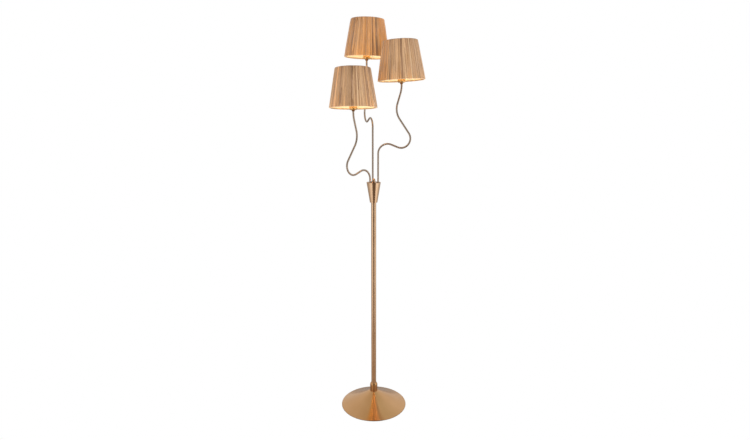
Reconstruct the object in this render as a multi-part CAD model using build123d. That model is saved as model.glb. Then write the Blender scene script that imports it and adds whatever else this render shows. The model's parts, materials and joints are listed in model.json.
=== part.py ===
# Tree floor lamp: a low conical base, a slim stem, an inverted cone cup with a finial, and three
# serpentine arms of one bend that each carry a lampholder, a bulb and a tapered raffia shade.
# Millimetres, +Z up. The origin is on the floor, on the stem's axis. The right arm points near +X
# and the rear arm near +Y.
import os
from math import atan, cos, degrees, radians, sin, tan

from build123d import *

# ---- Clearances ----
thread_gap = 0.05  # radial, between mating threads, which are plain cylinders here
slip_gap = 0.15  # radial, where one piece slides over another for assembly
seat_gap = 0.1  # between pieces that rest on each other and move apart
bond_gap = 0.05  # between pieces that are glued or welded together

# ---- Base ----
base_radius = 133.0
base_rise = 62.0  # floor to the seat of the collar
base_dip = 3.0  # how far the slope hangs below a straight cone
base_wall = 1.2
lip_radius = 2.2  # of the rolled lip's section
lip_lift = 1.0  # gap between the lip and the floor
seat_margin = 0.8  # flat of the base that shows round the collar
pad_thickness = 2.0
weight_thickness = 16.0
weight_gap = 0.3  # weight to the inside of the base
hub_radius = 26.0
hub_rise = 16.0  # above the weight's flat top
pocket_radius = 18.0  # room under the weight for the nut and the cable's bend
pocket_depth = 24.0
channel_width = 9.6
washer_radius = 13.0
washer_thickness = 1.5

# ---- Cord inlet ----
inlet_height = 10.3
gland_radius = 4.5
gland_bore_radius = 3.0
gland_length = 21.0
gland_inset = 4.0  # outer end in from the base's edge
gland_round = 0.8

# ---- Threaded tubes and their nuts ----
pipe_radius = 5.0
pipe_bore_radius = 3.5
pipe_proud = 0.5  # tube past its nut
pipe_engagement = 14.0  # tube inside a stem plug
pipe_nut_flats = 17.0
pipe_nut_height = 5.0
cup_pipe_proud = 3.0  # the cup's tube past its nut, to guard the cable

# ---- Stem ----
stem_radius = 10.0
stem_wall = 1.2
stem_length = 791.5
plug_height = 18.0
collar_radius = 15.3
collar_height = 36.5
collar_shoulder = 12.5  # height of the rounded shoulder
collar_lip = 0.5  # width of the collar's top edge
cable_radius = 2.5
cable_bend_radius = 8.5

# ---- Cup ----
cup_height = 78.1
cup_bottom_radius = 14.55
cup_top_radius = 27.6
cup_wall = 1.25
cup_floor = 1.5
lid_recess = 1.6
lid_thickness = 2.0
terminal_radius = 9.0
terminal_height = 16.0
terminal_lift = 5.0  # above the threaded tube's end
crossbar_width = 7.0
crossbar_thickness = 2.5
crossbar_drop = 19.5  # below the lid
screw_radius = 2.0
screw_proud = 3.0  # screw past the crossbar
finial_radius = 6.75
finial_height = 16.9
finial_round = 6.4

# ---- Arms: the same bends on every arm, above a first straight run that differs ----
arm_radius = 3.5
arm_wall = 0.9
foot_circle_radius = 18.1
foot_azimuth = -19.0  # of the right arm's hole; the others follow round the lid
lowest_rise = 15.0  # straight run above the lid, on the lowest arm
rise_step = 96.8  # each next arm is this much taller
arm_tail = 10.0  # tube below the lid's top
crook_radius, crook_bend = 36.7, 111.1
crook_run = 27.0
belly_radius, belly_bend = 34.9, 145.3
belly_run = 62.3
neck_radius, neck_bend = 65.8, 50.7
neck_run = 38.3
top_radius = 100.3
top_run = 18.9
arm_names = ("left", "right", "rear")  # from the lowest arm to the tallest
arm_places = {"right": 0, "rear": 1, "left": 2}  # holes counted anticlockwise from the right arm's
arm_turn = {"left": 6.5, "right": 6.5, "rear": 4.6}  # of each arm's plane past its hole's azimuth
arm_trim = {"left": 2.5, "right": 0.0, "rear": 0.0}  # cut off each arm's end
arm_tilt = {"left": 2.5, "right": 2.9, "rear": 2.3}  # of each arm's end from upright, in degrees
arm_tilt_azimuth = {"left": 101.0, "right": 192.0, "rear": 310.0}  # which way it tilts
ferrule_radius = 5.6
ferrule_height = 5.0
ferrule_bevel = 1.0
lock_nut_flats = 11.0
lock_nut_height = 4.0
lead_radius = 1.4
lead_circle_radius = 6.0  # of the leads' ends on the terminal block
lead_straight = 20.0  # lead below its arm's end before it curves in

# ---- Lampholder: heights from the shade's bottom edge, along the head's axis ----
holder_cup_radius = 14.5
holder_cup_wall = 1.0
holder_cup_drop = 8.0  # cup below the shade's bottom edge
holder_cup_round = 5.0
holder_nut_radius = 5.6
holder_nut_height = 4.6
holder_body_radius = 12.9
flange_radius = 16.0
flange_thickness = 2.0
flange_level = 15.9  # top of the flange, where the shade's carrier rests
sleeve_radius = 13.9
sleeve_top = 38.0
boss_depth = 7.0  # arm tube inside the lampholder
boss_ceiling = 1.0
socket_floor = 11.0
socket_radius = 7.75
mouth_radius = 9.8
mouth_depth = 5.8
contact_radius = 3.0
contact_height = 1.4
shell_wall = 0.7
shell_foot = 3.0  # above the socket's floor
clamp_radius = 20.0
clamp_height = 6.0
clamp_grooves = 20
clamp_groove_radius = 1.3

# ---- Bulb ----
cap_radius = 6.9
cap_length = 22.5
cap_tip_radius = 2.6
cap_tip_height = 0.6
cap_taper = 2.0
cap_taper_radius = 3.6
cap_flare_height = 2.5
cap_flare_radius = 8.2
glass_neck_radius = 8.0
globe_radius = 22.5
globe_lift = 32.5  # globe's centre above the cap
globe_join_angle = -50.0  # where the neck's curve meets the globe, from level
glass_wall = 0.9
neck_height = 6.0
neck_flare = 0.4
neck_hollow = 0.4  # how far the neck's curve sinks below a straight line

# ---- Shade ----
shade_bottom_radius = 87.7  # over the crests of the pleats
shade_top_radius = 64.5
shade_height = 138.2
raffia_thickness = 2.6
pleat_count = 60
pleat_depth = 1.4
lining_wall = 0.7
wire_radius = 1.25
wire_inset = 0.4  # wires in from the lining's ends
carrier_plate_radius = 21.0
carrier_plate_thickness = 1.2
carrier_plate_gap = 0.1  # radial, round the lampholder's sleeve
spoke_count = 3
spoke_turn_radius = 30.0  # where each spoke turns down
spoke_bend_radius = 14.0
spoke_azimuth = 96.0  # of the first spoke, from the head's outward side

# ---- Heights and sizes that follow ----
gland_outer_end = base_radius - gland_inset  # distances behind the stem's axis
gland_inner_end = gland_outer_end - gland_length
weight_top = pad_thickness + weight_thickness
pocket_top = pad_thickness + pocket_depth
washer_bottom = pocket_top - washer_thickness
base_nut_bottom = washer_bottom - pipe_nut_height
cup_bottom = base_rise + stem_length
cup_top = cup_bottom + cup_height
cup_nut_bottom = cup_bottom + cup_floor
cup_pipe_top = cup_nut_bottom + pipe_nut_height + cup_pipe_proud
terminal_bottom = cup_pipe_top + terminal_lift
terminal_top = terminal_bottom + terminal_height
lid_top = cup_top - lid_recess
lid_bottom = lid_top - lid_thickness
crossbar_top = lid_bottom - crossbar_drop
crossbar_bottom = crossbar_top - crossbar_thickness
arm_foot = lid_top - arm_tail
plate_bottom = flange_level + seat_gap
plate_top = plate_bottom + carrier_plate_thickness
stem_bore_radius = stem_radius - stem_wall
arm_bore_radius = arm_radius - arm_wall
collar_bore_radius = stem_radius + slip_gap
top_bend = 90 - (90 - crook_bend + belly_bend - neck_bend)  # brings the arm's end upright


# ---- Shared shapes ----
def disc(radius, low, high):
    """An upright cylinder on the axis between two heights."""
    return Pos(0, 0, low) * Cylinder(radius, high - low, align=(Align.CENTER, Align.CENTER, Align.MIN))


def sleeve(outer, inner, low, high):
    """An upright tube on the axis."""
    return disc(outer, low, high) - disc(inner, low, high)


def frustum(low_radius, high_radius, low, high):
    """An upright cone on the axis, cut off at both ends."""
    height = high - low
    cone = Cone(low_radius, high_radius, height, align=(Align.CENTER, Align.CENTER, Align.MIN))
    return Pos(0, 0, low) * cone


def turned(*edges):
    """A solid turned about the axis from a closed outline of radius and height."""
    return revolve(Plane.XZ * make_face(Curve() + list(edges)), Axis.Z)


def hex_nut(flats, bore, low, height):
    """A hexagon nut on the axis."""
    prism = Pos(0, 0, low) * extrude(RegularPolygon(flats / 2, 6, major_radius=False), height)
    return prism - disc(bore, low, low + height)


def swept(path, radius):
    """A round rod along a path of tangent lines and arcs."""
    start = Plane(origin=path @ 0, z_dir=path % 0)
    return sweep(start * Circle(radius), path)


def polar(radius, azimuth, height=0.0):
    return Vector(radius * cos(radians(azimuth)), radius * sin(radians(azimuth)), height)


# ---- Base ----
slope_fall = base_rise - lip_lift - 2 * lip_radius
slope_reach = base_radius - lip_radius - collar_radius - seat_margin
slope = atan(slope_fall / slope_reach)
base_wall_upright = base_wall / cos(slope)  # the slope's wall measured straight down


def slope_arc(start, end):
    """The slope of the base between two points, dipping a little below a straight line."""
    middle_x = (start[0] + end[0]) / 2 - base_dip * sin(slope)
    middle_y = (start[1] + end[1]) / 2 - base_dip * cos(slope)
    return ThreePointArc(start, (middle_x, middle_y), end)


def base_outside():
    seat = (collar_radius + seat_margin, base_rise)
    lip_top = (base_radius - lip_radius, lip_lift + 2 * lip_radius)
    lip_side = (base_radius, lip_lift + lip_radius)
    lip_bottom = (base_radius - lip_radius, lip_lift)
    return turned(
        Line((0, base_rise), seat),
        slope_arc(seat, lip_top),
        ThreePointArc(lip_top, lip_side, lip_bottom),
        Polyline(lip_bottom, (0, lip_lift), (0, base_rise)),
    )


def base_cavity():
    """The room under the base's wall, down to the floor."""
    ceiling = base_rise - base_wall_upright
    seat = (collar_radius + seat_margin, ceiling)
    edge_radius = base_radius - 2 * lip_radius
    edge_height = lip_lift + 2 * lip_radius + lip_radius * tan(slope) - base_wall_upright
    return turned(
        Line((0, ceiling), seat),
        slope_arc(seat, (edge_radius, edge_height)),
        Polyline((edge_radius, edge_height), (edge_radius, 0), (0, 0), (0, ceiling)),
    )


def rear_rod(radius, near, far):
    """A level rod behind the axis, in line with the cord inlet."""
    level = Plane(origin=(0, near, inlet_height), z_dir=(0, 1, 0))
    return level * Cylinder(radius, far - near, align=(Align.CENTER, Align.CENTER, Align.MIN))


def base_shell():
    shell = base_outside() - base_cavity()
    shell -= disc(pipe_radius + slip_gap, 0, base_rise)
    return shell - rear_rod(gland_radius + bond_gap, gland_inner_end, base_radius)


def base_weight():
    """A cast disc with a hub, hollow below for the nut and the cable."""
    plate = disc(base_radius - 2 * lip_radius - weight_gap, pad_thickness, weight_top)
    plate &= Pos(0, 0, -weight_gap) * base_cavity()
    weight = plate + disc(hub_radius, weight_top, weight_top + hub_rise)
    weight -= disc(pocket_radius, pad_thickness, pocket_top)
    weight -= disc(pipe_radius + slip_gap, pocket_top, weight_top + hub_rise)
    channel_top = inlet_height + channel_width / 2
    channel = Box(channel_width, base_radius, channel_top, align=(Align.CENTER, Align.MIN, Align.MIN))
    return weight - channel


def base_pad():
    return disc(base_radius - 2 * lip_radius - weight_gap, 0, pad_thickness)


def base_washer():
    return sleeve(washer_radius, pipe_radius + slip_gap, washer_bottom, pocket_top)


def pipe_nuts():
    """The nuts under the base's washer and on the cup's floor."""
    bore = pipe_radius + thread_gap
    bottoms = (base_nut_bottom, cup_nut_bottom)
    return Compound([hex_nut(pipe_nut_flats, bore, low, pipe_nut_height) for low in bottoms])


def base_pipe():
    return sleeve(pipe_radius, pipe_bore_radius, base_nut_bottom - pipe_proud, base_rise + pipe_engagement)


def cord_gland():
    gland = rear_rod(gland_radius, gland_inner_end, gland_outer_end)
    gland = fillet(gland.edges().sort_by(Axis.Y)[-1], gland_round)
    return gland - rear_rod(gland_bore_radius, gland_inner_end, gland_outer_end)


# ---- Stem ----
def stem_tube():
    return sleeve(stem_radius, stem_bore_radius, base_rise, cup_bottom)


def stem_plugs():
    """The threaded plugs in the stem's two ends."""
    outer = stem_bore_radius - thread_gap
    bore = pipe_radius + thread_gap
    bottoms = (base_rise, cup_bottom - plug_height)
    return Compound([sleeve(outer, bore, low, low + plug_height) for low in bottoms])


def stem_collar():
    """A turned collar with a rounded shoulder, over the foot of the stem."""
    top = base_rise + collar_height
    shoulder = top - collar_shoulder
    edge_radius = collar_bore_radius + collar_lip
    bulge = ((collar_radius * 2 + edge_radius) / 3, top - collar_shoulder / 3)
    return turned(
        Polyline((collar_bore_radius, base_rise), (collar_radius, base_rise), (collar_radius, shoulder)),
        ThreePointArc((collar_radius, shoulder), bulge, (edge_radius, top)),
        Polyline((edge_radius, top), (collar_bore_radius, top), (collar_bore_radius, base_rise)),
    )


def stem_cable():
    """From the gland's inner end, round under the threaded tube and up to the terminal block."""
    inlet = (0, gland_inner_end, inlet_height)
    path = FilletPolyline(inlet, (0, 0, inlet_height), (0, 0, terminal_bottom), radius=cable_bend_radius)
    return swept(path, cable_radius)


# ---- Cup ----
def cup_radius(height):
    """The outside radius of the cup at a height."""
    share = (height - cup_bottom) / cup_height
    return cup_bottom_radius + share * (cup_top_radius - cup_bottom_radius)


cup_wall_level = cup_wall / cos(atan((cup_top_radius - cup_bottom_radius) / cup_height))


def cup_inside(low, high, gap=0.0):
    """The cone of room inside the cup between two heights, less a gap to its wall."""
    less = cup_wall_level + gap
    return frustum(cup_radius(low) - less, cup_radius(high) - less, low, high)


def cup_shell():
    cone = frustum(cup_bottom_radius, cup_top_radius, cup_bottom, cup_top)
    cone -= cup_inside(cup_bottom + cup_floor, cup_top)
    return cone - disc(pipe_radius + slip_gap, cup_bottom, cup_bottom + cup_floor)


def cup_pipe():
    return sleeve(pipe_radius, pipe_bore_radius, cup_bottom - pipe_engagement, cup_pipe_top)


def terminal_block():
    return disc(terminal_radius, terminal_bottom, terminal_top)


def cup_crossbar():
    """A strip welded across the cup, between two of the leads, that the finial's screw pulls on."""
    middle = (crossbar_bottom + crossbar_top) / 2
    strip = Box(2 * cup_top_radius, crossbar_width, crossbar_thickness)
    bar = Pos(0, 0, middle) * Rot(0, 0, foot_azimuth + 90) * strip
    bar &= cup_inside(crossbar_bottom, crossbar_top, bond_gap)
    return bar - disc(screw_radius + thread_gap, crossbar_bottom, crossbar_top)


def arm_azimuth(name):
    """The azimuth of the arm's hole in the lid."""
    return foot_azimuth + 120 * arm_places[name]


def round_the_lid(piece):
    """The same piece at each arm's foot."""
    return Compound([Pos(polar(foot_circle_radius, arm_azimuth(name))) * piece for name in arm_names])


def cup_lid():
    lid = cup_inside(lid_bottom, lid_top, bond_gap)
    lid -= disc(screw_radius + slip_gap, lid_bottom, lid_top)
    return lid - round_the_lid(disc(arm_radius + slip_gap, lid_bottom, lid_top))


def finial():
    """A domed nut with its screw."""
    dome = disc(finial_radius, lid_top, lid_top + finial_height)
    dome = fillet(dome.edges().sort_by(Axis.Z)[-1], finial_round)
    return dome + disc(screw_radius, crossbar_bottom - screw_proud, lid_top)


# ---- Arms ----
def arm_plane(name):
    """The plane that the arm is bent in: its X runs outward and its Y upward from the arm's foot."""
    outward = polar(1, arm_azimuth(name) + arm_turn[name])
    foot = polar(foot_circle_radius, arm_azimuth(name), arm_foot)
    return Plane(origin=foot, x_dir=outward, z_dir=(outward.Y, -outward.X, 0))


def arm_line(name):
    """The arm's centre line: straight runs and bends in its plane, then the tilt of its end."""
    bends = (
        (crook_radius, -crook_bend, crook_run),
        (belly_radius, belly_bend, belly_run),
        (neck_radius, -neck_bend, neck_run),
        (top_radius, top_bend, 0),
    )
    rise = arm_tail + lowest_rise + rise_step * arm_names.index(name)
    flat = [Line((0, 0), (0, rise))]
    for radius, bend, run in bends:
        arc = JernArc(flat[-1] @ 1, flat[-1] % 1, radius, bend)
        flat.append(arc)
        if run:
            flat.append(Line(arc @ 1, arc @ 1 + run * (arc % 1)))
    edges = [arm_plane(name).location * edge for edge in flat]
    towards = polar(1, arm_tilt_azimuth[name])
    tilt_plane = Plane(origin=edges[-1] @ 1, x_dir=towards, z_dir=(towards.Y, -towards.X, 0))
    tilt = tilt_plane.location * JernArc((0, 0), (0, 1), top_radius, -arm_tilt[name])
    last_run = top_run - arm_trim[name] - top_radius * radians(arm_tilt[name])
    return edges + [tilt, Line(tilt @ 1, tilt @ 1 + last_run * (tilt % 1))]


def arm_tube(name):
    path = Wire(arm_line(name))
    return swept(path, arm_radius) - swept(path, arm_bore_radius)


def arm_lead(name):
    """From the terminal block, out under the lid, up the arm and into the lampholder."""
    inside = Plane(
        origin=(0, 0, terminal_top), x_dir=polar(1, arm_azimuth(name)), z_dir=polar(1, arm_azimuth(name) - 90)
    )
    across = foot_circle_radius - lead_circle_radius
    climb = arm_foot - lead_straight - terminal_top
    turn = 2 * degrees(atan(across / climb))
    radius = climb / (2 * sin(radians(turn)))
    first = JernArc((lead_circle_radius, 0), (0, 1), radius, -turn)
    second = JernArc(first @ 1, first % 1, radius, turn)
    upright = Line(second @ 1, second @ 1 + Vector(0, lead_straight))
    start = [inside.location * edge for edge in (first, second, upright)]
    return swept(Wire(start + arm_line(name)), lead_radius)


def arm_ferrules():
    ferrule = sleeve(ferrule_radius, arm_radius + thread_gap, lid_top, lid_top + ferrule_height)
    outer_edge = ferrule.edges().group_by(Axis.Z)[-1].sort_by(SortBy.RADIUS)[-1]
    return round_the_lid(chamfer(outer_edge, ferrule_bevel))


def arm_lock_nuts():
    nut = hex_nut(lock_nut_flats, arm_radius + thread_gap, lid_bottom - lock_nut_height, lock_nut_height)
    return round_the_lid(nut)


# ---- Heads: drawn upright, with the shade's bottom edge at height 0, then set on their arms ----
def head_location(name):
    """Where the head's own frame sits: on the arm's end and in line with it, its X outward."""
    last = arm_line(name)[-1]
    along = last % 1
    outward = arm_plane(name).x_dir
    level = outward - along * outward.dot(along)
    return Plane(origin=last @ 1, x_dir=level, z_dir=along).location * Pos(0, 0, -boss_ceiling)


def holder_nut():
    top = -holder_cup_drop
    nut = sleeve(holder_nut_radius, arm_radius + thread_gap, top - holder_nut_height, top)
    lower_edge = nut.edges().group_by(Axis.Z)[0].sort_by(SortBy.RADIUS)[-1]
    return chamfer(lower_edge, ferrule_bevel)


def holder_cup():
    bottom = -holder_cup_drop
    top = flange_level - flange_thickness
    outside = disc(holder_cup_radius, bottom, top)
    outside = fillet(outside.edges().sort_by(Axis.Z)[0], holder_cup_round)
    inside = disc(holder_cup_radius - holder_cup_wall, bottom + holder_cup_wall, top)
    inside = fillet(inside.edges().sort_by(Axis.Z)[0], holder_cup_round - holder_cup_wall)
    return outside - inside - disc(arm_radius + thread_gap, bottom, top)


def lampholder():
    """The insulating body: a boss for the arm's thread, a flange for the shade, a socket above."""
    bottom = boss_ceiling - boss_depth
    flange_bottom = flange_level - flange_thickness
    body = disc(holder_body_radius, bottom, flange_bottom)
    body = chamfer(body.edges().sort_by(Axis.Z)[0], holder_cup_round - holder_cup_wall)
    body += disc(flange_radius, flange_bottom, flange_level)
    body += disc(sleeve_radius, flange_level, sleeve_top)
    body -= disc(arm_radius + thread_gap, bottom, boss_ceiling)
    body -= disc(socket_radius, socket_floor, sleeve_top)
    return body - disc(mouth_radius, sleeve_top - mouth_depth, sleeve_top)


def socket_contacts():
    """The socket's threaded shell and its centre contact."""
    outer = socket_radius - bond_gap
    shell = sleeve(outer, outer - shell_wall, socket_floor + shell_foot, sleeve_top - mouth_depth)
    contact = disc(contact_radius, socket_floor, socket_floor + contact_height)
    return Compound([shell, contact])


def shade_clamp():
    """The threaded ring that holds the shade's carrier down, with finger grooves round it."""
    low = plate_top + seat_gap
    ring = disc(clamp_radius, low, low + clamp_height)
    for place in range(clamp_grooves):
        groove = disc(clamp_groove_radius, low, low + clamp_height)
        ring -= Pos(polar(clamp_radius, 360 * place / clamp_grooves)) * groove
    return ring - disc(sleeve_radius + seat_gap, low, low + clamp_height)


cap_bottom = socket_floor + contact_height + seat_gap
cap_top = cap_bottom + cap_length
globe_centre = cap_top + globe_lift


def bulb_cap():
    tip_top = cap_bottom + cap_tip_height
    taper_top = tip_top + cap_taper
    flare_bottom = cap_top - cap_flare_height
    outline = Polyline(
        (0, cap_bottom),
        (cap_tip_radius, cap_bottom),
        (cap_tip_radius, tip_top),
        (cap_taper_radius, tip_top),
        (cap_radius, taper_top),
        (cap_radius, flare_bottom),
        (cap_flare_radius, cap_top),
        (0, cap_top),
        (0, cap_bottom),
    )
    return turned(outline)


def bulb_form(inset):
    """The bulb's globe and neck, drawn in by a wall."""
    low = cap_top + inset
    radius = globe_radius - inset
    foot = (glass_neck_radius - inset, low)
    neck = (glass_neck_radius + neck_flare - inset, cap_top + neck_height)
    join = (
        radius * cos(radians(globe_join_angle)),
        globe_centre + radius * sin(radians(globe_join_angle)),
    )
    sink = ((neck[0] + join[0]) / 2 + neck_hollow, (neck[1] + join[1]) / 2 - neck_hollow)
    return turned(
        Polyline((0, low), foot, neck),
        ThreePointArc(neck, sink, join),
        ThreePointArc(join, (radius, globe_centre), (0, globe_centre + radius)),
        Line((0, globe_centre + radius), (0, low)),
    )


def bulb_glass():
    return bulb_form(0) - bulb_form(glass_wall)


# ---- Shade ----
def shade_cone(inset):
    """The shade's cone, drawn in from the crests of its pleats."""
    return frustum(shade_bottom_radius - inset, shade_top_radius - inset, 0, shade_height)


def pleat_outline(crest_radius, height):
    """A closed zigzag of pleats between the crests and the valleys."""
    points = []
    for corner in range(2 * pleat_count):
        radius = crest_radius - pleat_depth * (corner % 2)
        points.append(polar(radius, 180 * corner / pleat_count, height))
    return make_face(Polyline(*points, close=True))


def shade_raffia():
    outlines = [pleat_outline(shade_bottom_radius, 0), pleat_outline(shade_top_radius, shade_height)]
    return loft(outlines, ruled=True) - shade_cone(raffia_thickness)


lining_inset = raffia_thickness + bond_gap


def shade_lining():
    return shade_cone(lining_inset) - shade_cone(lining_inset + lining_wall)


shade_taper = atan((shade_bottom_radius - shade_top_radius) / shade_height)


def wire_ring_radius(height):
    """The centre line's radius of a wire ring that lies against the lining at a height."""
    crest = shade_bottom_radius - height * tan(shade_taper)
    return crest - lining_inset - (lining_wall + wire_radius + bond_gap) / cos(shade_taper)


def shade_top_wire():
    height = shade_height - wire_inset - wire_radius
    return Pos(0, 0, height) * Torus(wire_ring_radius(height), wire_radius)


def shade_plate():
    """The flat ring that the spokes are welded to, held on the lampholder by the clamp."""
    return sleeve(carrier_plate_radius, sleeve_radius + carrier_plate_gap, plate_bottom, plate_top)


def shade_carrier():
    """The bottom wire, and the spokes that rise from it to the plate's edge."""
    ring_height = wire_inset + wire_radius
    ring_radius = wire_ring_radius(ring_height)
    carrier = Pos(0, 0, ring_height) * Torus(ring_radius, wire_radius)
    level = (plate_bottom + plate_top) / 2
    start = (carrier_plate_radius + bond_gap, 0, level)
    turn = (spoke_turn_radius, 0, level)
    end = (ring_radius, 0, ring_height)
    spoke = swept(FilletPolyline(start, turn, end, radius=spoke_bend_radius), wire_radius)
    for place in range(spoke_count):
        carrier += Rot(0, 0, spoke_azimuth + 360 * place / spoke_count) * spoke
    return carrier


# ---- Every piece by its name ----
pieces = {
    "base_shell": base_shell(),
    "base_weight": base_weight(),
    "base_pad": base_pad(),
    "base_washer": base_washer(),
    "pipe_nuts": pipe_nuts(),
    "base_pipe": base_pipe(),
    "cord_gland": cord_gland(),
    "stem_tube": stem_tube(),
    "stem_plugs": stem_plugs(),
    "stem_collar": stem_collar(),
    "stem_cable": stem_cable(),
    "cup_shell": cup_shell(),
    "cup_pipe": cup_pipe(),
    "terminal_block": terminal_block(),
    "cup_crossbar": cup_crossbar(),
    "cup_lid": cup_lid(),
    "finial": finial(),
    "arm_ferrules": arm_ferrules(),
    "arm_lock_nuts": arm_lock_nuts(),
    "holder_nuts": Compound([head_location(name) * holder_nut() for name in arm_names]),
}
head_pieces = {
    "holder_cup": holder_cup(),
    "lampholder": lampholder(),
    "socket_contacts": socket_contacts(),
    "shade_clamp": shade_clamp(),
    "bulb_cap": bulb_cap(),
    "bulb_glass": bulb_glass(),
    "shade_raffia": shade_raffia(),
    "shade_lining": shade_lining(),
    "shade_top_wire": shade_top_wire(),
    "shade_plate": shade_plate(),
    "shade_carrier": shade_carrier(),
}
for name in arm_names:
    pieces[f"arm_{name}"] = arm_tube(name)
    pieces[f"arm_lead_{name}"] = arm_lead(name)
    for piece_name, piece in head_pieces.items():
        pieces[f"{piece_name}_{name}"] = head_location(name) * piece

os.makedirs("parts", exist_ok=True)
for node, piece in pieces.items():
    export_step(piece, f"parts/{node}.step")
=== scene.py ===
import json
import math
import random

import bmesh
import bpy
from mathutils import Matrix, Vector, noise


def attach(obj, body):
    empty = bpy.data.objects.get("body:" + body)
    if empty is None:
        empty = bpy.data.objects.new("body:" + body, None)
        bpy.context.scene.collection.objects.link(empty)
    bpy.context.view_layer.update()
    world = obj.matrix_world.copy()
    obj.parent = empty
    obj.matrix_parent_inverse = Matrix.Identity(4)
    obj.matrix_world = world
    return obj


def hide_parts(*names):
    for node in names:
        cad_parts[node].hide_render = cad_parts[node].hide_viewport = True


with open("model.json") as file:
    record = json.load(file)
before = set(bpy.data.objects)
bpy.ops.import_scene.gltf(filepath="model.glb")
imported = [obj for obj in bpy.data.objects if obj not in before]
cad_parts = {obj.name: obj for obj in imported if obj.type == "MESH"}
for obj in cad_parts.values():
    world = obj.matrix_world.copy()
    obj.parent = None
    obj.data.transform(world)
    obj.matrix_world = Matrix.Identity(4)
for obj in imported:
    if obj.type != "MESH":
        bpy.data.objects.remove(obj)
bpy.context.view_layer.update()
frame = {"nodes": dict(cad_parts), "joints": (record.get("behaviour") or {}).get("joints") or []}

millimetre = 0.001
arm_names = ("left", "right", "rear")
nodes = frame["nodes"]
joints = {joint["name"]: joint for joint in frame["joints"]}

# ---- Sizes of the heads, in millimetres from the shade's bottom edge, as the model has them ----
shade_bottom_radius = 87.7
shade_top_radius = 64.5
shade_height = 138.2
pleat_count = 60
pleat_depth = 1.3
flange_level = 15.9
bulb_level = 67.5

# ---- The photograph's camera, in metres and degrees ----
camera_place = (0.0052, -1.94916, 1.15727)
camera_tilt = 10.849
camera_lens = 24.396
sensor_width = 36.0

# The floor lies this far under the base, and its bands are placed as shares of this radius.
floor_drop = 0.0005
floor_radius = 5.0


def head_matrix(name):
    """The place of a head's own frame: its shade's axis, from the shade's bottom edge."""
    joint = joints[f"shade_{name}_turn"]
    axis = Vector(joint["axis"])
    foot = Vector(joint["pos_m"]) - axis * flange_level * millimetre
    turn = Vector((0, 0, 1)).rotation_difference(axis).to_matrix().to_4x4()
    return Matrix.Translation(foot) @ turn @ Matrix.Scale(millimetre, 4)


# ---- Camera and light ----
def set_camera():
    """The photograph's view: from the front, below the shades, looking a little down."""
    camera = bpy.data.cameras.new("camera")
    camera.lens = camera_lens
    camera.sensor_width = sensor_width
    camera.sensor_fit = "HORIZONTAL"
    camera.clip_start = 0.05
    camera_object = bpy.data.objects.new("camera", camera)
    camera_object.location = camera_place
    camera_object.rotation_euler = (math.radians(90 - camera_tilt), 0, 0)
    bpy.context.scene.collection.objects.link(camera_object)
    bpy.context.scene.camera = camera_object


def link(tree, source, target):
    tree.links.new(source, target)


def math_node(tree, operation, first, second=None):
    """A Math node whose inputs are sockets or numbers."""
    node = tree.nodes.new("ShaderNodeMath")
    node.operation = operation
    for socket, value in zip(node.inputs, (first, second)):
        if value is None:
            continue
        if isinstance(value, (int, float)):
            socket.default_value = value
        else:
            link(tree, value, socket)
    return node.outputs[0]


def ramp_node(tree, factor, stops, interpolation="LINEAR"):
    """A colour ramp from a list of places and colours."""
    node = tree.nodes.new("ShaderNodeValToRGB")
    node.color_ramp.interpolation = interpolation
    elements = node.color_ramp.elements
    while len(elements) < len(stops):
        elements.new(0.5)
    for element, (place, color) in zip(elements, stops):
        element.position = place
        element.color = (*color, 1)
    link(tree, factor, node.inputs["Fac"])
    return node.outputs["Color"]


def grey(value):
    return (value, value, value)


def color_mix(tree, factor, first, second, blend="MIX"):
    """A colour between two, each of them and the factor a socket, a colour or a number."""
    node = tree.nodes.new("ShaderNodeMix")
    node.data_type = "RGBA"
    node.blend_type = blend
    for name, value in (("Factor", factor), ("A", first), ("B", second)):
        socket = node.inputs[name]
        if isinstance(value, bpy.types.NodeSocket):
            link(tree, value, socket)
        elif isinstance(value, tuple):
            socket.default_value = (*value, 1)
        else:
            socket.default_value = value
    return node.outputs["Result"]


black = grey(0.0)
full = grey(1.0)


# What the brass mirrors, by azimuth: 0 is behind, 0.5 is the camera, and the left comes first.
# The upright brass mirrors the floor, which has the first list, and the base the walls, the second.
dark_gap = (0.03, 0.014, 0.004)
floor_stops = [
    (0.0, grey(0.50)),
    (0.10, grey(0.44)),
    (0.235, grey(0.52)),
    (0.30, grey(1.10)),
    (0.39, grey(1.60)),
    (0.42, grey(1.60)),
    (0.448, dark_gap),
    (0.592, dark_gap),
    (0.622, grey(1.65)),
    (0.71, grey(1.60)),
    (0.77, grey(0.75)),
    (0.90, grey(0.52)),
    (1.0, grey(0.50)),
]
wall_stops = [
    (0.0, grey(0.74)),
    (0.25, grey(0.74)),
    (0.30, grey(0.66)),
    (0.42, grey(0.72)),
    (0.46, grey(0.08)),
    (0.58, grey(0.08)),
    (0.61, grey(0.80)),
    (0.72, grey(0.72)),
    (0.77, grey(0.76)),
    (1.0, grey(0.74)),
]
# The floor right by the base, as the collar shows it in stripes: painted shade with painted highlights, for
# the collar to mirror.
foot_dim = (0.44, 0.36, 0.30)
foot_gap = (0.32, 0.22, 0.14)
foot_stops = [
    (0.0, grey(0.44)),
    (0.36, foot_dim),
    (0.41, (0.95, 0.78, 0.64)),
    (0.44, (0.80, 0.62, 0.48)),
    (0.465, foot_gap),
    (0.56, foot_gap),
    (0.60, (0.78, 0.62, 0.50)),
    (0.66, foot_dim),
    (1.0, grey(0.44)),
]

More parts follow.
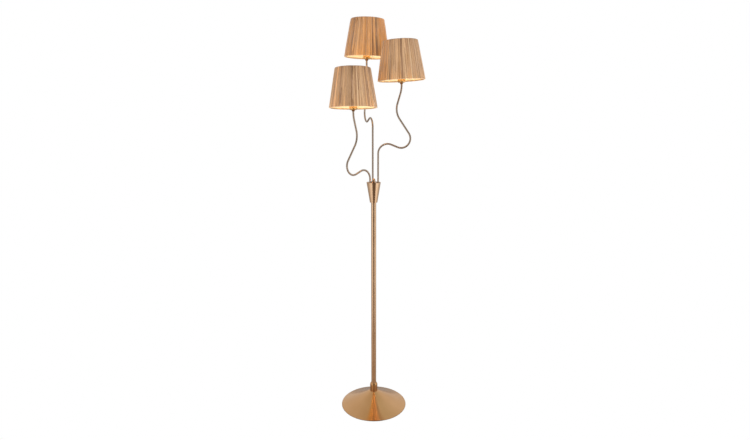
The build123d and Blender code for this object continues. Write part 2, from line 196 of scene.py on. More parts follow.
# The roof the base mirrors, from left to right: a warm, dimmer strip runs over the lamp to the camera.
roof_stops = [
    (0.0, (0.60, 0.57, 0.50)),
    (0.21, (0.58, 0.55, 0.46)),
    (0.26, (0.66, 0.46, 0.20)),
    (0.38, (0.66, 0.38, 0.15)),
    (0.50, (0.50, 0.23, 0.08)),
    (0.60, (0.62, 0.32, 0.14)),
    (0.69, (0.78, 0.52, 0.32)),
    (0.75, (0.38, 0.30, 0.22)),
    (0.82, (0.44, 0.38, 0.30)),
    (0.92, (0.68, 0.66, 0.57)),
    (1.0, (0.60, 0.60, 0.52)),
]


def azimuth_place(tree, across, deep):
    """The direction round the lamp, from 0 behind by the left to 0.5 at the camera and on to 1."""
    towards = math_node(tree, "MULTIPLY", deep, -1.0)
    azimuth = math_node(tree, "ARCTAN2", across, towards)
    share = math_node(tree, "DIVIDE", azimuth, 2 * math.pi)
    return math_node(tree, "ADD", share, 0.5)


def set_world():
    """A studio that is white to the camera, plain and soft to matte faces, and banded in the brass."""
    world = bpy.data.worlds.new("studio")
    world.use_nodes = True
    tree = world.node_tree
    tree.nodes.clear()
    coordinate = tree.nodes.new("ShaderNodeTexCoord")
    split = tree.nodes.new("ShaderNodeSeparateXYZ")
    link(tree, coordinate.outputs["Generated"], split.inputs[0])
    across, deep, up = split.outputs
    side = ramp_node(tree, azimuth_place(tree, across, deep), wall_stops, "EASE")
    # From straight down (0) past the horizon (0.5) to straight up (1).
    height = math_node(tree, "MULTIPLY_ADD", up, 0.5)
    height.node.inputs[2].default_value = 0.5
    floor_share = ramp_node(tree, height, [(0.0, full), (0.30, full), (0.46, black)])
    roof_share = ramp_node(tree, height, [(0.80, black), (0.97, full)])
    lower = color_mix(tree, floor_share, side, (0.70, 0.62, 0.54))
    roof_place = math_node(tree, "MULTIPLY_ADD", across, 2.0)
    roof_place.node.inputs[2].default_value = 0.5
    light = color_mix(tree, roof_share, lower, ramp_node(tree, roof_place, roof_stops))
    soft = ramp_node(tree, height, [(0.0, grey(1.45)), (0.5, grey(1.20)), (1.0, grey(0.80))])
    path = tree.nodes.new("ShaderNodeLightPath")
    seen = color_mix(tree, path.outputs["Is Diffuse Ray"], light, soft)
    seen = color_mix(tree, path.outputs["Is Camera Ray"], seen, (1.0, 1.0, 1.0))
    studio = tree.nodes.new("ShaderNodeBackground")
    link(tree, seen, studio.inputs["Color"])
    output = tree.nodes.new("ShaderNodeOutputWorld")
    link(tree, studio.outputs[0], output.inputs["Surface"])
    bpy.context.scene.world = world


def soft_light(name, size, energy, location, tilt, turn=0):
    """A round soft light that lights matte faces but isn't mirrored in the brass."""
    soft = bpy.data.lights.new(name, "AREA")
    soft.shape = "DISK"
    soft.size = size
    soft.energy = energy
    soft_object = bpy.data.objects.new(name, soft)
    soft_object.location = location
    soft_object.rotation_euler = (math.radians(tilt), 0, math.radians(turn))
    soft_object.visible_glossy = False
    bpy.context.scene.collection.objects.link(soft_object)


def set_lights():
    """Soft light from above and in front, and a warm lamp in each bulb."""
    soft_light("overhead", 3.0, 16.0, (0, -0.6, 3.4), -10)
    soft_light("front_right", 1.6, 22.0, (1.9, -2.5, 1.9), 76, 37)
    for name in arm_names:
        glow = bpy.data.lights.new(f"glow_{name}", "POINT")
        glow.energy = 0.45
        glow.color = (1.0, 0.70, 0.40)
        glow.shadow_soft_size = 0.018
        glow_object = bpy.data.objects.new(f"glow_{name}", glow)
        glow_object.location = head_matrix(name) @ Vector((0, 0, bulb_level))
        glow_object.visible_glossy = False
        bpy.context.scene.collection.objects.link(glow_object)


# ---- Materials ----
class Finish:
    """A material under way: its node tree, its Principled shader and its place on the object."""

    def __init__(self, name, **constants):
        self.material = bpy.data.materials.new(name)
        self.material.use_nodes = True
        self.tree = self.material.node_tree
        self.shader = self.tree.nodes["Principled BSDF"]
        for socket, value in constants.items():
            self.shader.inputs[socket.replace("_", " ")].default_value = value
        self.coordinate = self.tree.nodes.new("ShaderNodeTexCoord").outputs["Object"]

    def scaled(self, x, y, z):
        """Object coordinates, drawn out along the axes with the smaller numbers."""
        mapping = self.tree.nodes.new("ShaderNodeMapping")
        mapping.inputs["Scale"].default_value = (x, y, z)
        link(self.tree, self.coordinate, mapping.inputs["Vector"])
        return mapping.outputs["Vector"]

    def rings(self, fineness):
        """Coordinates that change with the distance from the stem's axis alone, for turned faces."""
        split = self.tree.nodes.new("ShaderNodeSeparateXYZ")
        link(self.tree, self.coordinate, split.inputs[0])
        flat = self.tree.nodes.new("ShaderNodeCombineXYZ")
        link(self.tree, split.outputs["X"], flat.inputs["X"])
        link(self.tree, split.outputs["Y"], flat.inputs["Y"])
        length = self.tree.nodes.new("ShaderNodeVectorMath")
        length.operation = "LENGTH"
        link(self.tree, flat.outputs[0], length.inputs[0])
        out = self.tree.nodes.new("ShaderNodeCombineXYZ")
        link(self.tree, math_node(self.tree, "MULTIPLY", length.outputs["Value"], fineness), out.inputs["X"])
        link(self.tree, math_node(self.tree, "MULTIPLY", split.outputs["Z"], fineness), out.inputs["Z"])
        return out.outputs[0]

    def noise(self, vector, scale=1.0, detail=3.0, roughness=0.5):
        node = self.tree.nodes.new("ShaderNodeTexNoise")
        node.inputs["Scale"].default_value = scale
        node.inputs["Detail"].default_value = detail
        node.inputs["Roughness"].default_value = roughness
        link(self.tree, vector, node.inputs["Vector"])
        return node.outputs["Fac"]

    def attribute(self, name):
        node = self.tree.nodes.new("ShaderNodeAttribute")
        node.attribute_name = name
        return node.outputs["Fac"]

    def ramp(self, factor, *stops):
        return ramp_node(self.tree, factor, stops)

    def mix(self, factor, first, second, blend="MIX"):
        return color_mix(self.tree, factor, first, second, blend)

    def between(self, factor, low, high):
        """A number that runs from low to high as the factor runs from 0.3 to 0.7."""
        node = self.tree.nodes.new("ShaderNodeMapRange")
        node.inputs["From Min"].default_value = 0.3
        node.inputs["From Max"].default_value = 0.7
        node.inputs["To Min"].default_value = low
        node.inputs["To Max"].default_value = high
        link(self.tree, factor, node.inputs["Value"])
        return node.outputs["Result"]

    def set(self, socket, value):
        link(self.tree, value, self.shader.inputs[socket])

    def bump(self, height, strength, distance):
        node = self.tree.nodes.new("ShaderNodeBump")
        node.inputs["Strength"].default_value = strength
        node.inputs["Distance"].default_value = distance
        link(self.tree, height, node.inputs["Height"])
        link(self.tree, node.outputs["Normal"], self.shader.inputs["Normal"])


def satin_brass(name, brushing, low, high, light, deep):
    """Lacquered brass with fine brush lines, round the axis where it is turned, and a slow change of tone."""
    finish = Finish(name, Metallic=1.0)
    if brushing is not all_over:
        finish.shader.inputs["Anisotropic"].default_value = 0.85
        finish.shader.inputs["Anisotropic Rotation"].default_value = 0.25
        tangent = finish.tree.nodes.new("ShaderNodeTangent")
        tangent.direction_type = "RADIAL"
        tangent.axis = "Z"
        finish.set("Tangent", tangent.outputs[0])
    lines = finish.noise(brushing(finish), 1.0, 2.0, 0.6)
    cloud = finish.noise(finish.coordinate, 9.0, 2.0)
    tone = finish.mix(finish.between(cloud, 0.0, 1.0), deep, light)
    finish.set("Base Color", finish.mix(finish.between(lines, 0.0, 0.25), tone, deep))
    finish.set("Roughness", finish.between(lines, low, high))
    return finish.material


def plated(name, color, roughness, grain=400.0):
    """Plated or drawn metal with a fine mottle."""
    finish = Finish(name, Metallic=1.0)
    mottle = finish.noise(finish.coordinate, grain, 3.0)
    darker = tuple(0.75 * channel for channel in color)
    finish.set("Base Color", finish.mix(finish.between(mottle, 0.0, 1.0), darker, color))
    finish.set("Roughness", finish.between(mottle, roughness, roughness + 0.14))
    finish.bump(mottle, 0.1, 0.0001)
    return finish.material


def moulded(name, color, roughness, grain=900.0, **constants):
    """Moulded plastic or rubber with a faint grain."""
    finish = Finish(name, **constants)
    grains = finish.noise(finish.coordinate, grain, 2.0)
    cloud = finish.noise(finish.coordinate, 40.0, 2.0)
    darker = tuple(0.86 * channel for channel in color)
    finish.set("Base Color", finish.mix(finish.between(cloud, 0.0, 1.0), darker, color))
    finish.set("Roughness", finish.between(grains, roughness, roughness + 0.15))
    finish.bump(grains, 0.15, 0.0001)
    return finish.material


def cast_iron():
    """Sand-cast iron under grey paint."""
    finish = Finish("cast_iron_paint", Metallic=0.0)
    sand = finish.noise(finish.coordinate, 700.0, 4.0, 0.7)
    lumps = finish.noise(finish.coordinate, 60.0, 3.0)
    finish.set("Base Color", finish.ramp(lumps, (0.3, (0.10, 0.10, 0.10)), (0.7, (0.17, 0.17, 0.16))))
    finish.set("Roughness", finish.between(sand, 0.55, 0.8))
    finish.bump(sand, 0.5, 0.0006)
    return finish.material


def felt():
    """Dense pressed felt."""
    finish = Finish("felt", Roughness=0.95)
    fluff = finish.noise(finish.scaled(1500, 1500, 400), 1.0, 4.0, 0.7)
    finish.set("Base Color", finish.ramp(fluff, (0.3, (0.02, 0.02, 0.02)), (0.7, (0.09, 0.09, 0.09))))
    finish.bump(fluff, 0.6, 0.0004)
    return finish.material


def opal_glass():
    """Opal glass, lit from inside, with a slight haze."""
    finish = Finish("opal_glass", Roughness=0.22, Coat_Weight=0.3, Emission_Strength=2.2)
    haze = finish.noise(finish.coordinate, 120.0, 2.0)
    share = finish.between(haze, 0.0, 1.0)
    finish.set("Base Color", finish.mix(share, (0.90, 0.84, 0.74), (0.96, 0.90, 0.80)))
    finish.set("Emission Color", finish.mix(share, (1.0, 0.80, 0.52), (1.0, 0.86, 0.62)))
    return finish.material


def lining_sheet():
    """Cream sheet inside the shade, washed by the bulb's light, to which its emission adds a painted glow."""
    finish = Finish("lining_sheet", Roughness=0.5, Emission_Strength=0.13)
    cloud = finish.noise(finish.coordinate, 60.0, 2.0)
    fibres = finish.noise(finish.scaled(500, 500, 30), 1.0, 2.0)
    cream = finish.mix(finish.between(cloud, 0.0, 1.0), (0.86, 0.68, 0.44), (0.90, 0.75, 0.54))
    finish.set("Base Color", finish.mix(finish.between(fibres, 0.0, 0.3), cream, (0.76, 0.54, 0.30)))
    painted_bulb_glow = finish.mix(finish.between(fibres, 0.0, 1.0), (1.0, 0.62, 0.24), (1.0, 0.72, 0.36))
    finish.set("Emission Color", painted_bulb_glow)
    finish.bump(fibres, 0.1, 0.0002)
    return finish.material


def raffia():
    """Dried palm fibre: each strand has its own tone, with fine fibres and stains along it, and its own glow,
    a painted glow for the bulb's light coming through, with a painted lit band along its lower fold.
    """
    finish = Finish("raffia", Roughness=0.72, Specular_IOR_Level=0.25, Sheen_Weight=0.3)
    finish.shader.inputs["Emission Strength"].default_value = 0.55
    fibres = finish.noise(finish.scaled(1100, 1100, 14), 1.0, 4.0, 0.65)
    stains_and_glow_patches = finish.noise(finish.scaled(140, 140, 16), 1.0, 3.0, 0.6)
    tone = finish.ramp(
        finish.attribute("tone"),
        (0.0, (0.080, 0.040, 0.016)),
        (0.16, (0.250, 0.135, 0.060)),
        (0.38, (0.430, 0.255, 0.116)),
        (0.62, (0.560, 0.340, 0.168)),
        (0.82, (0.660, 0.428, 0.232)),
        (1.0, (0.800, 0.595, 0.365)),
    )
    stained = finish.mix(finish.between(stains_and_glow_patches, 0.0, 0.55), tone, (0.50, 0.30, 0.18))
    dark_fibre = finish.mix(0.55, stained, (0.20, 0.10, 0.04), "MULTIPLY")
    fibrous = finish.mix(finish.between(fibres, 0.55, 0.0), stained, dark_fibre)
    rim = finish.ramp(finish.attribute("level"), (0.90, full), (0.94, (0.66, 0.70, 0.74)))
    finish.set("Base Color", finish.mix(1.0, fibrous, rim, "MULTIPLY"))
    # Painted light: the emission is a painted glow for the light through the raffia, weaker where the stain
    # noise is high, and a painted lit band in cream along the folded lower end of each strand.
    painted_glow = finish.ramp(
        finish.attribute("glow"),
        (0.0, black),
        (0.5, (0.14, 0.052, 0.006)),
        (1.0, (0.78, 0.29, 0.035)),
    )
    patchy_painted_glow = finish.mix(finish.between(stains_and_glow_patches, 0.0, 0.5), painted_glow, black)
    painted_hem_glow_share = finish.ramp(finish.attribute("level"), (0.0, full), (0.055, full), (0.10, black))
    finish.set("Emission Color", finish.mix(painted_hem_glow_share, patchy_painted_glow, (0.80, 0.64, 0.42)))
    finish.bump(fibres, 0.45, 0.0005)
    return finish.material


def pale_floor():
    """The floor: white to the camera; in the brass it is dim and warm near the base, a painted shade round
    the foot with a painted contact shadow right at it, and banded further out.
    """
    material = bpy.data.materials.new("studio_floor")
    material.use_nodes = True
    tree = material.node_tree
    tree.nodes.clear()
    split = tree.nodes.new("ShaderNodeSeparateXYZ")
    link(tree, tree.nodes.new("ShaderNodeTexCoord").outputs["Object"], split.inputs[0])
    across, deep = split.outputs["X"], split.outputs["Y"]
    side = ramp_node(tree, azimuth_place(tree, across, deep), floor_stops, "EASE")
    across_squared = math_node(tree, "POWER", across, 2.0)
    deep_squared = math_node(tree, "POWER", deep, 2.0)
    radius = math_node(tree, "SQRT", math_node(tree, "ADD", across_squared, deep_squared))
    reach = math_node(tree, "DIVIDE", radius, floor_radius)
    far_stops = [(0.12, black), (0.23, grey(0.33)), (0.36, grey(0.78)), (0.62, grey(0.84)), (0.88, full)]
    far_share = ramp_node(tree, reach, far_stops)
    foot = ramp_node(tree, azimuth_place(tree, across, deep), foot_stops, "EASE")
    # Painted shade: the floor is dimmed round the base and darkest right at it, a painted contact shadow that
    # the brass mirrors.
    foot_share = ramp_node(tree, reach, [(0.06, full), (0.09, black)])
    shadow_share = ramp_node(tree, reach, [(0.027, full), (0.036, black)])
    near = color_mix(tree, foot_share, (0.46, 0.37, 0.30), foot)
    near = color_mix(tree, shadow_share, near, (0.16, 0.13, 0.10))
    mirrored = color_mix(tree, far_share, near, side)
    glossy = tree.nodes.new("ShaderNodeEmission")
    link(tree, mirrored, glossy.inputs["Color"])
    seen = tree.nodes.new("ShaderNodeEmission")
    seen.inputs["Color"].default_value = (1, 1, 1, 1)
    path = tree.nodes.new("ShaderNodeLightPath")
    choice = tree.nodes.new("ShaderNodeMixShader")
    link(tree, path.outputs["Is Camera Ray"], choice.inputs["Fac"])
    link(tree, glossy.outputs[0], choice.inputs[1])
    link(tree, seen.outputs[0], choice.inputs[2])
    output = tree.nodes.new("ShaderNodeOutputMaterial")
    link(tree, choice.outputs[0], output.inputs["Surface"])
    return material


def along_stem(finish):
    return finish.scaled(60, 60, 5200)


def round_base(finish):
    return finish.rings(4200)


def all_over(finish):
    return finish.scaled(2200, 2200, 2200)


# Each brass: its brushing, its lowest and highest roughness, and its lighter and deeper tone. The tones are
# of one brass, set apart from part to part as painted light and shade for the reflections and light each part
# shows.
brass_kinds = {
    "turned": (along_stem, 0.20, 0.32, (0.74, 0.51, 0.33), (0.64, 0.41, 0.24)),
    "collar": (along_stem, 0.15, 0.22, (0.74, 0.43, 0.21), (0.64, 0.35, 0.15)),
    "spun": (round_base, 0.14, 0.20, (0.74, 0.44, 0.22), (0.66, 0.37, 0.17)),
    "bent": (all_over, 0.26, 0.36, (0.47, 0.37, 0.29), (0.43, 0.33, 0.25)),
    "nuts": (all_over, 0.3, 0.4, (0.30, 0.15, 0.06), (0.24, 0.11, 0.04)),
    "cups": (all_over, 0.24, 0.34, (0.80, 0.52, 0.22), (0.70, 0.42, 0.16)),
}


def dress_nodes():
    """Gives every piece of the model its finish, and returns those of the heads' pieces."""
    brasses = {}
    for name, (brushing, low, high, light, deep) in brass_kinds.items():
        brasses[name] = satin_brass(f"brass_{name}", brushing, low, high, light, deep)
    steel = plated("zinc_plated_steel", (0.58, 0.57, 0.53), 0.32)
    finishes = {
        "base_shell": brasses["spun"],
        "base_weight": cast_iron(),
        "base_pad": felt(),
        "base_washer": steel,
        "pipe_nuts": steel,
        "base_pipe": steel,
        "cord_gland": moulded("gland_rubber", (0.025, 0.024, 0.023), 0.5),
        "stem_tube": brasses["turned"],
        "stem_plugs": steel,
        "stem_collar": brasses["collar"],
        "stem_cable": moulded("cable_sheath", (0.80, 0.76, 0.68), 0.45),
        "cup_shell": brasses["turned"],
        "cup_pipe": steel,
        "terminal_block": moulded("terminal_plastic", (0.78, 0.76, 0.70), 0.4),
        "cup_crossbar": steel,
        "cup_lid": brasses["spun"],
        "finial": brasses["turned"],
        "arm_ferrules": brasses["bent"],
        "arm_lock_nuts": steel,
        "holder_nuts": brasses["nuts"],
    }
    holder_plastic = moulded("holder_plastic", (0.80, 0.74, 0.62), 0.35)
    clamp_plastic = moulded("clamp_plastic", (0.84, 0.79, 0.68), 0.38)
    lacquer = moulded("gold_lacquer", (0.45, 0.29, 0.13), 0.3, Metallic=0.55)
    head_finishes = {
        "arm": brasses["bent"],
        "arm_lead": finishes["stem_cable"],
        "holder_cup": brasses["cups"],
        "lampholder": holder_plastic,
        "socket_contacts": plated("contact_brass", (0.80, 0.62, 0.30), 0.25),
        "shade_clamp": clamp_plastic,
        "bulb_cap": plated("nickel", (0.70, 0.68, 0.64), 0.22),
        "bulb_glass": opal_glass(),
        "shade_raffia": raffia(),
        "shade_lining": lining_sheet(),
        "shade_top_wire": lacquer,
        "shade_plate": lacquer,
        "shade_carrier": lacquer,
    }
    for name in arm_names:
        for piece, finish in head_finishes.items():
            finishes[f"{piece}_{name}"] = finish
    for node, finish in finishes.items():
        nodes[node].data.materials.clear()
        nodes[node].data.materials.append(finish)
    for name in arm_names:
        nodes[f"bulb_glass_{name}"].visible_shadow = False
    return head_finishes


# ---- Raffia ----
# Where each of a strand's rings of points lies on its course, as fold_over has it.
strand_places = (0.0, 0.04, 0.08, 0.13, 0.37, 0.63, 0.87, 0.92, 0.96, 1.0)
last_ring = len(strand_places) - 1

# What differs from strand to strand. The sway, the lean and the phase are radians, the thickness and
# the lift millimetres, and the width at the top is a share of the width at the foot.
sway_limit = 0.006
lean_spread = 0.010
curl_spread = 0.32
phase_range = (0, 6.28)
half_thickness = (0.22, 0.42)
lift_range = (-0.12, 0.25)
width_at_top = (0.68, 0.82)

# What all strands share: the wave of their width, the crown across them and their narrow loose ends.
width_wave = 0.16
crown = 0.25
tip_width = 0.35
tip_growth = 0.3
fold_start = 0.1
fold_flatness = 0.4
fold_lift = 0.3

# Painted shade: tone lost in the pleats' valleys, more so near the top rim; and painted glow gained near the
# lower edge.
valley_shade = 0.08
rim_shade = 0.34
rim_from = 0.80
rim_length = 0.20
darkest = 0.05
foot_glow = 0.28
foot_reach = 0.25


def strand_pattern():
    """One flat strand, closed all round: its width along X, its thickness along Y, its length up Z."""
    bpy.ops.object.select_all(action="DESELECT")
    bpy.ops.mesh.primitive_cylinder_add(vertices=6, radius=1, depth=1, location=(0, 0, 0.5))
    strand = bpy.context.object
    bpy.ops.object.transform_apply(location=True)
    bpy.ops.object.mode_set(mode="EDIT")
    bpy.ops.mesh.select_all(action="DESELECT")
    mesh = bmesh.from_edit_mesh(strand.data)
    for painted_hem_glow_share in mesh.edges:
        rise = painted_hem_glow_share.verts[0].co - painted_hem_glow_share.verts[1].co
        painted_hem_glow_share.select_set(abs(rise.z) > 0.5)
    bmesh.update_edit_mesh(strand.data)
    bpy.ops.mesh.subdivide(number_cuts=last_ring - 1)
    bpy.ops.object.mode_set(mode="OBJECT")
    bpy.ops.object.shade_smooth()
    return strand


def fold_over(share, inset):
    """A strand's course in the shade's own section: how far in from the crests, and how high."""
    course = (
        (0.00, inset + 3.6, -0.45),
        (0.04, inset + 1.8, -0.75),
        (0.08, inset + 0.1, 0.10),
        (0.12, inset, 3.0),
        (0.88, inset, shade_height - 3.0),
        (0.92, inset + 0.1, shade_height - 0.1),
        (0.96, inset + 1.8, shade_height + 0.75),
        (1.00, inset + 3.6, shade_height + 0.45),
    )
    for (start, inset_a, height_a), (end, inset_b, height_b) in zip(course, course[1:]):
        if share <= end + 1e-6:
            part = (share - start) / (end - start)
            return inset_a + part * (inset_b - inset_a), height_a + part * (height_b - height_a)
    return course[-1][1:]


def mark(piece, tones, glows, levels):
    """Gives each point its tone and glow, and how far up the course it lies."""
    for name, values in (("tone", tones), ("glow", glows), ("level", levels)):
        attribute = piece.data.attributes.new(name, "FLOAT", "POINT")
        attribute.data.foreach_set("value", values)


def lay_strand(pattern, azimuth, width, inset, ends, tone, glow, chance):
    """A copy of the pattern, laid between two places of the course, with its own sway and curl."""
    strand = pattern.copy()
    strand.data = pattern.data.copy()
    bpy.context.scene.collection.objects.link(strand)
    sway = chance.uniform(-sway_limit, sway_limit)
    lean = chance.gauss(0, lean_spread)
    curl = chance.gauss(0, curl_spread)
    phase = chance.uniform(*phase_range)
    thick = chance.uniform(*half_thickness)
    lift = chance.uniform(*lift_range)
    pinch = chance.uniform(*width_at_top)
    levels = []
    tones = []
    glows = []
    for vertex in strand.data.vertices:
        ring = round(vertex.co.z * last_ring)
        share = ends[0] + strand_places[ring] * (ends[1] - ends[0])
        depth, height = fold_over(share, inset)
        level = height / shade_height
        crest = shade_bottom_radius + level * (shade_top_radius - shade_bottom_radius)
        narrow = 1 + level * (pinch - 1)
        narrow *= 1 + width_wave * math.sin(phase + 5.1 * level)
        if ends[0] > 0 and ring < 2:
            narrow *= tip_width + tip_growth * ring
        if ends[1] < 1 and ring > last_ring - 2:
            narrow *= tip_width + tip_growth * (last_ring - ring)
        across = vertex.co.x * width / 2 * narrow
        twist = curl * math.sin(phase * 1.7 + 3.3 * level)
        out = vertex.co.y * thick + lift + twist * vertex.co.x * 0.8 + crown * (1 - vertex.co.x ** 2)
        radius = crest - depth + out * (1 if fold_start < share < 1 - fold_start else fold_flatness)
        wander = lean * (level - 0.5) + sway * math.sin(phase + 4.0 * level)
        angle = azimuth + wander + across / crest
        valley = (1 - math.cos(pleat_count * angle)) / 2
        radius -= pleat_depth * valley
        levels.append(share)
        # Painted shade in the pleats' valleys, stronger near the top rim, and painted glow near the foot.
        shaded = valley_shade + rim_shade * max(0.0, level - rim_from) / rim_length
        tones.append(max(darkest, tone - valley * shaded))
        glows.append(min(1.0, glow + foot_glow * max(0.0, 1 - level / foot_reach)))
        if share < fold_start:
            height -= fold_lift * abs(out)
        if share > 1 - fold_start:
            height += fold_lift * abs(out)
        vertex.co = (radius * math.cos(angle), radius * math.sin(angle), height)
    mark(strand, tones, glows, levels)
    return strand


underlay_inset = 2.15
underlay_wall = 0.35
gap_shade_tone = 0.10
gap_glow = 0.35
underlay_level = 0.5


def underlay():
    """A dark sheet under the strands: its dark tone is painted shade that shows in the fine gaps between
    them, and its glow painted light.
    """
    bpy.ops.object.select_all(action="DESELECT")
    bpy.ops.mesh.primitive_cone_add(
        vertices=120,
        radius1=shade_bottom_radius - underlay_inset,
        radius2=shade_top_radius - underlay_inset,
        depth=shade_height,
        end_fill_type="NOTHING",
        location=(0, 0, shade_height / 2),
    )
    sheet = bpy.context.object
    bpy.ops.object.transform_apply(location=True)
    solidify = sheet.modifiers.new("wall", "SOLIDIFY")
    solidify.thickness = underlay_wall
    solidify.offset = -1
    bpy.ops.object.modifier_apply(modifier="wall")
    bpy.ops.object.shade_smooth_by_angle(angle=math.radians(30))
    count = len(sheet.data.vertices)
    mark(sheet, [gap_shade_tone] * count, [gap_glow] * count, [underlay_level] * count)
    return sheet


# Strands come in bunches of a few with one tone and glow, and one strand in eight or so is darker.
bunch_sizes = (1, 1, 2, 2, 3)
bunch_tone_spread = 0.17
bunch_glow_spread = 0.22
strand_tone_spread = 0.09
dark_share = 0.12
dark_drop = (0.20, 0.40)
tone_drift = 0.22
glow_drift = 0.25
lowest_tone = 0.10

# Strand widths in millimetres, how much of its width each takes up, and how deep every other one lies.
strand_widths = (2.8, 6.2)
width_taken = 0.92
deep_inset = 0.85
shallow_inset = 0.55

# The thinner strands laid over them: how many, how wide at most, and how deep they lie.
wisp_sets = ((70, 5.2, 0.42), (80, 1.9, 0.3))


class Weaver:
    """Picks the tone and the glow of a shade's strands: neighbours come from one bunch.

    Round the place of painted light, an azimuth in degrees, the tone is darker and the glow brighter by what
    is given: painted shade and painted glow.
    """

    def __init__(self, seed, tone, glow, painted_light_place, painted_light_width, darker, brighter):
        self.chance = random.Random(seed)
        self.seed = seed
        self.tone = tone
        self.glow = glow
        self.painted_light_place = math.radians(painted_light_place)
        self.painted_light_width = math.radians(painted_light_width)
        self.darker = darker
        self.brighter = brighter
        self.left_in_bunch = 0

    def slow_change(self, azimuth, pace, offset):
        return noise.noise(Vector((pace * math.cos(azimuth), pace * math.sin(azimuth), self.seed + offset)))

    def pick(self, azimuth):
        """A strand's tone, and its glow, which stands in for the light that comes through it."""
        chance = self.chance
        if self.left_in_bunch == 0:
            self.left_in_bunch = chance.choice(bunch_sizes)
            self.bunch_tone = chance.gauss(0, bunch_tone_spread)
            self.bunch_glow = chance.gauss(0, bunch_glow_spread)
        self.left_in_bunch -= 1
        tone = self.tone + tone_drift * self.slow_change(azimuth, 3.2, 0) + self.bunch_tone
        tone += chance.gauss(0, strand_tone_spread)
        if chance.random() < dark_share:
            tone -= chance.uniform(*dark_drop)
        away = (azimuth - self.painted_light_place + math.pi) % (2 * math.pi) - math.pi
        painted_light_share = math.exp(-(away / self.painted_light_width) ** 2)
        tone -= self.darker * painted_light_share
        glow = self.glow + glow_drift * self.slow_change(azimuth, 1.6, 9) + self.bunch_glow
        glow += self.brighter * painted_light_share
        return min(1.0, max(lowest_tone, tone)), min(1.0, max(0.0, glow))


def shade_of_raffia(name, pattern, finish, weaver):
    """A whole shade's strands, side by side, with thinner ones laid over them."""
    chance = weaver.chance
    pieces = [underlay()]
    azimuth = 0.0
    while azimuth < 2 * math.pi - 0.01:
        width = chance.uniform(*strand_widths)
        step = width_taken * width / shade_bottom_radius
        inset = deep_inset if len(pieces) % 2 else shallow_inset
        tone, glow = weaver.pick(azimuth)
        pieces.append(lay_strand(pattern, azimuth + step / 2, width, inset, (0.0, 1.0), tone, glow, chance))
        azimuth += step
    for count, widest, inset in wisp_sets:
        for wisp in range(count):
            azimuth = chance.uniform(0, 2 * math.pi)
            low = chance.choice((0.0, chance.uniform(0.13, 0.6)))
            high = chance.choice((1.0, chance.uniform(low + 0.25, 0.87)))
            tone, glow = weaver.pick(azimuth)
            width = chance.uniform(0.4, 1.0) * widest
            tone = min(1.0, max(lowest_tone, tone + chance.uniform(-0.18, 0.24)))
            pieces.append(lay_strand(pattern, azimuth, width, inset, (low, high), tone, glow, chance))
    bpy.ops.object.select_all(action="DESELECT")
    for piece in pieces:
        piece.select_set(True)
    bpy.context.view_layer.objects.active = pieces[0]
    bpy.ops.object.join()
    shade = bpy.context.object
    shade.name = f"raffia_{name}"
    shade.data.transform(head_matrix(name))
    shade.data.materials.clear()
    shade.data.materials.append(finish)
    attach(shade, f"shade_{name}")
    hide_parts(f"shade_raffia_{name}")


def make_shades(finish):
    pattern = strand_pattern()
    # The rear shade's low tone is painted shade and its high glow painted light, for the dimmer, warmer look
    # it has behind the others.
    weavers = {
        "left": Weaver(11, 0.60, 0.20, -140, 14, -0.04, 0.5),
        "right": Weaver(23, 0.58, 0.20, -150, 22, 0.52, 0.75),
        "rear": Weaver(37, 0.23, 0.78, -35, 24, 0.15, 0.3),
    }
    for name, weaver in weavers.items():
        shade_of_raffia(name, pattern, finish, weaver)
    bpy.data.objects.remove(pattern)


# ---- Turned pieces of the heads ----
def turned(name, outline, steps=64):
    """A closed outline of radius and height, spun about the head's axis."""
    bpy.ops.object.select_all(action="DESELECT")
    bpy.ops.mesh.primitive_circle_add(vertices=len(outline), radius=1)
    piece = bpy.context.object
    piece.name = name
    for vertex, (radius, height) in zip(piece.data.vertices, outline):
        vertex.co = (radius, 0, height)
    bpy.ops.object.mode_set(mode="EDIT")
    bpy.ops.mesh.select_all(action="SELECT")
    bpy.ops.mesh.spin(steps=steps, angle=2 * math.pi, center=(0, 0, 0), axis=(0, 0, 1))
    bpy.ops.mesh.select_all(action="SELECT")
    bpy.ops.mesh.remove_doubles(threshold=0.0001)
    bpy.ops.mesh.normals_make_consistent(inside=False)
    bpy.ops.object.mode_set(mode="OBJECT")
    bpy.ops.object.shade_smooth_by_angle(angle=math.radians(40))
    return piece


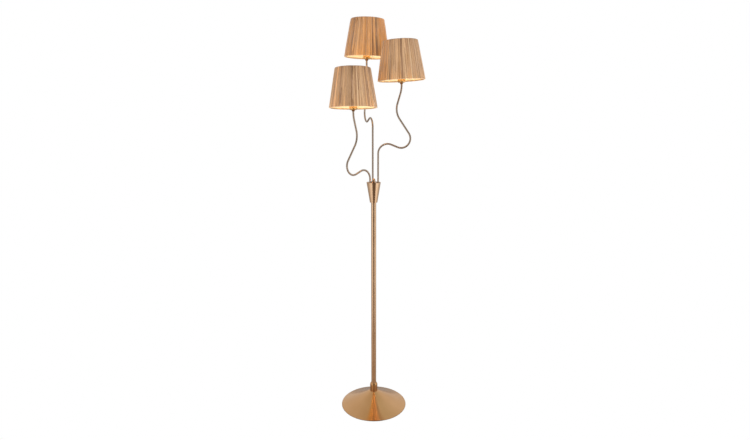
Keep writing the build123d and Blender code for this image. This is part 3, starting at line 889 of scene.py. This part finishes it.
def thread(radius, root, low, high, pitch):
    """The zigzag of a thread between two heights; spun, it gives rings side by side."""
    points = []
    for turn in range(round((high - low) / pitch)):
        foot = low + turn * pitch
        points += [(root, foot), (root, foot + 0.15 * pitch)]
        points += [(radius, foot + 0.4 * pitch), (radius, foot + 0.7 * pitch)]
    return points + [(root, high)]


def lampholder_outline():
    """Foot and flange, then the sleeve with its thread, then the socket inside."""
    outside = [(3.55, -6.0), (8.9, -6.0), (12.9, -2.0), (12.9, 13.9)]
    outside += [(15.6, 13.9), (16.0, 14.3), (16.0, 15.5), (15.6, 15.9), (13.2, 15.9)]
    outside += thread(13.88, 13.1, 18.0, 36.0, 2.0)
    outside += [(13.1, 37.3), (12.5, 38.0), (10.1, 38.0), (9.8, 37.7), (9.8, 32.2)]
    return outside + [(7.75, 32.2), (7.75, 11.0), (0.0, 11.0), (0.0, 1.0), (3.55, 1.0)]


def cap_outline():
    """Contact, insulator, threaded shell and the collar at the glass."""
    outside = [(0.0, 12.5), (2.2, 12.5), (2.6, 12.8), (2.6, 13.1), (3.6, 13.2), (6.2, 15.1)]
    outside += thread(6.88, 6.25, 15.6, 30.6, 2.5)
    return outside + [(6.5, 31.4), (6.85, 32.4), (8.2, 35.0), (0.0, 35.0)]


def make_turned_pieces(finishes):
    kinds = (
        ("threaded_holder", "lampholder", "holder_plastic", "lamp_frame", lampholder_outline()),
        ("screw_cap", "bulb_cap", "cap_nickel", "bulb", cap_outline()),
    )
    for kind, node, slot, body, outline in kinds:
        for name in arm_names:
            piece = turned(f"{kind}_{name}", outline)
            piece.data.transform(head_matrix(name))
            piece.data.materials.append(finishes[node])
            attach(piece, body if body == "lamp_frame" else f"{body}_{name}")
            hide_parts(f"{node}_{name}")


def set_stage():
    """A wide floor, just under the base, that lights nothing matte."""
    bpy.ops.object.select_all(action="DESELECT")
    bpy.ops.mesh.primitive_plane_add(size=40, location=(0, 0, -floor_drop))
    floor = bpy.context.object
    floor.name = "studio_floor"
    floor.data.materials.append(pale_floor())
    floor.visible_diffuse = False


bpy.context.scene.view_settings.view_transform = "Standard"
set_camera()
set_world()
set_lights()
head_finishes = dress_nodes()
make_shades(head_finishes["shade_raffia"])
make_turned_pieces(head_finishes)
set_stage()
